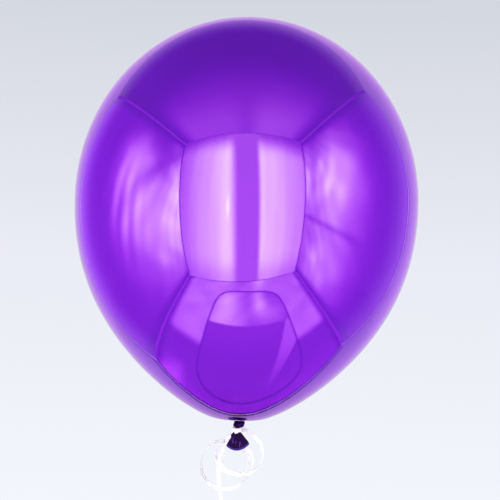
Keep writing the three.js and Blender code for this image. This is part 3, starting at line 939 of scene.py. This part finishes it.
def floor_tone(x, y, z):
    flap = (np.abs(x - 28) / 139) ** 4.5 + (np.abs(y + 190) / 205) ** 4.5
    on_flap = step(flap, 1.06, 0.98)
    around = (0.40 + spot(x, y, 80, -470, 34, 60, 0.3) + spot(x, y, -85, -480, 40, 60, 0.3)
              - spot(x, y, -5, -480, 42, 80, 0.12) + spot(x, y, -160, -330, 70, 110, 0.08))
    around *= 0.16 + 0.84 * step(y, -118, -160)
    around *= crumple(x, y, 0.05)
    around += 0.10 * step(x + 0.5 * y, -215, -150) * step(x, -120, -160) * step(y, -60, -10)
    front_part = (spot(x, y, -60, -300, 70, 150, 0.56) + spot(x, y, 68, -350, 30, 85, 0.42)
                  + spot(x, y, 110, -290, 60, 70, 0.2) + 0.14)
    sliver = step(x - 150 + 0.44 * (y + 225), -6, 4) * step(x - 163 + 0.86 * (y + 135), 6, -4)
    back_part = 0.065 + 0.06 * step(y, -90, -235) + 0.2 * sliver * step(y, 0, -160)
    inside = front_part * crumple(y, x, 0.05) * step(y, -226, -236) + back_part * step(y, -236, -226)
    outline = 1 - 0.85 * np.exp(-((flap - 1.02) / 0.10) ** 2)
    return (around * (1 - on_flap) + inside * on_flap) * outline


def seam(name, start, end, width, tone, end_tone, inward=6, glow=None):
    """A narrow strip of binding along an edge of the tent, with its light at either end."""
    a, b = (np.array(CAGE.get(corner, corner), float) for corner in (start, end))
    middle = (a + b) / 2
    towards = -unit(middle)
    aside = unit(np.cross(b - a, towards)) * width / 2
    a, b = a + towards * inward, b + towards * inward
    strip = lit_cloth(name, (a - aside, b - aside, b + aside, a + aside), [(0, 1, 2, 3)],
                      np.array((tone, end_tone, end_tone, tone)))
    if glow:
        strip.data.materials[0] = glow


tent_side("tent_front", ("front left top", "front right top", "front right low", "front left low"),
          front_tone, (0, 9, 0, 9))
tent_side("tent_left", ("front left top", "back left top", "back left low", "front left low"),
          left_tone, (60, 0, 50, 5), 1)
tent_side("tent_right", ("front right top", "back right top", "back right low", "front right low"),
          right_tone, (60, 0, 50, 5), 1)
tent_side("tent_top", ("front left top", "front right top", "back right top", "back left top"),
          top_tone, (6, 120, 0, 120), 2)
tent_side("tent_floor", ("front left low", "front right low", "back right low", "back left low"),
          floor_tone, (7, 45, 0, 45))

# The back of the tent is open, and the binding round its edge catches the light.
binding, tree, shader = new_material("tent_binding")
shader.inputs["Base Color"].default_value = (0, 0, 0, 1)
shader.inputs["Specular IOR Level"].default_value = 0
shader.inputs["Emission Color"].default_value = (1.9, 1.2, 2.2, 1)
shader.inputs["Emission Strength"].default_value = 1.0
for side in ("left", "right"):
    seam("tent_top_seam_" + side, f"front {side} top", f"back {side} top", 9, 0.17, 0.01)
    seam("tent_low_seam_" + side, f"front {side} low", f"back {side} low", 9, 0.17, 0.06)
    seam("tent_back_edge_" + side, f"back {side} top", f"back {side} low", 26, 0.02, 0.02, 2)
    seam("tent_back_seam_" + side, f"back {side} top", f"back {side} low", 8, 0.0, 0.0, 8, binding)
seam("tent_back_edge_low", "back left low", "back right low", 34, 0.0, 0.0, 2)
seam("tent_back_seam_low", "back left low", "back right low", 5, 0.0, 0.0, 8, binding)

# A screen stands behind the tent, grey in the middle and lilac further out. It too shows only as
# a reflection.
screen_glow, tree, shader = new_material("screen_glow")
screen_place = add(tree, "TexCoord")
from_middle = add(tree, "VectorMath", {0: screen_place.outputs["Object"], 1: SCREEN_MIDDLE},
                  operation="DISTANCE")
outwards = add(tree, "MapRange", {"Value": from_middle.outputs["Value"], "From Min": 0.35, "From Max": 0.85})
screen_colour = add(tree, "ValToRGB", {"Fac": outwards.outputs["Result"]})
screen_colour.color_ramp.elements[0].color = (0.45, 0.45, 0.50, 1)
screen_colour.color_ramp.elements[1].color = (0.64, 0.35, 0.83, 1)
tree.links.new(screen_colour.outputs["Color"], shader.inputs["Emission Color"])
shader.inputs["Emission Strength"].default_value = SCREEN_LIGHT
shader.inputs["Base Color"].default_value = (0, 0, 0, 1)
shader.inputs["Specular IOR Level"].default_value = 0
screen_corners = [(-2500, 900, -1800), (2500, 900, -1800), (2500, 900, 2200), (-2500, 900, 2200)]
screen = lit_cloth("screen", screen_corners, [(0, 1, 2, 3)], np.zeros(4))
screen.data.materials[0] = screen_glow

# Two soft lamps light the tail and the ribbon from the front.
for name, way in (("key_left", -1), ("key_right", 1)):
    lamp = bpy.data.lights.new(name, "AREA")
    lamp.shape = "DISK"
    lamp.size = LAMP_SIZE
    lamp.energy = LAMP_POWER
    lamp_object = bpy.data.objects.new(name, lamp)
    lamp_object.location = (1.1 * way, -0.9, 0.75)
    lamp_object.rotation_euler = (math.radians(60), 0, math.radians(50 * way))
    lamp_object.visible_glossy = False
    lamp_object.visible_transmission = False
    bpy.context.scene.collection.objects.link(lamp_object)

# A pale floor well below the ribbon.
floor_paper, tree, shader = new_material("floor_paper")
shader.inputs["Base Color"].default_value = (0.62, 0.62, 0.65, 1)
shader.inputs["Roughness"].default_value = 0.8
floor_turn = np.arange(FLOOR_SIDES) * 2 * math.pi / FLOOR_SIDES
floor_rim = [(FLOOR_RADIUS * math.cos(a), FLOOR_RADIUS * math.sin(a), FLOOR_Z) for a in floor_turn]
floor = new_piece("floor", floor_rim, [tuple(range(FLOOR_SIDES))], floor_paper, smooth=False)
floor.visible_glossy = False

# Pale air all round, whitest below.
air = bpy.data.worlds.new("pale_air")
air.use_nodes = True
bpy.context.scene.world = air
tree = air.node_tree
direction = add(tree, "TexCoord")
direction_xyz = add(tree, "SeparateXYZ", {0: direction.outputs["Generated"]})
rise = add(tree, "MapRange", {"Value": direction_xyz.outputs["Z"], "From Min": -1.0, "From Max": 1.0})
sky = add(tree, "ValToRGB", {"Fac": rise.outputs["Result"]})
ramp = sky.color_ramp
ramp.elements[0].position = 0.0
ramp.elements[0].color = (0.90, 0.92, 0.97, 1)
ramp.elements[1].position = 1.0
ramp.elements[1].color = (0.45, 0.46, 0.50, 1)
for position, colour in (
    (0.38, (0.90, 0.92, 0.98)),
    (0.5, (0.82, 0.83, 0.91)),
    (0.62, (0.655, 0.68, 0.745)),
):
    ramp.elements.new(position).color = (*colour, 1)
backdrop = tree.nodes["Background"]
tree.links.new(sky.outputs["Color"], backdrop.inputs["Color"])
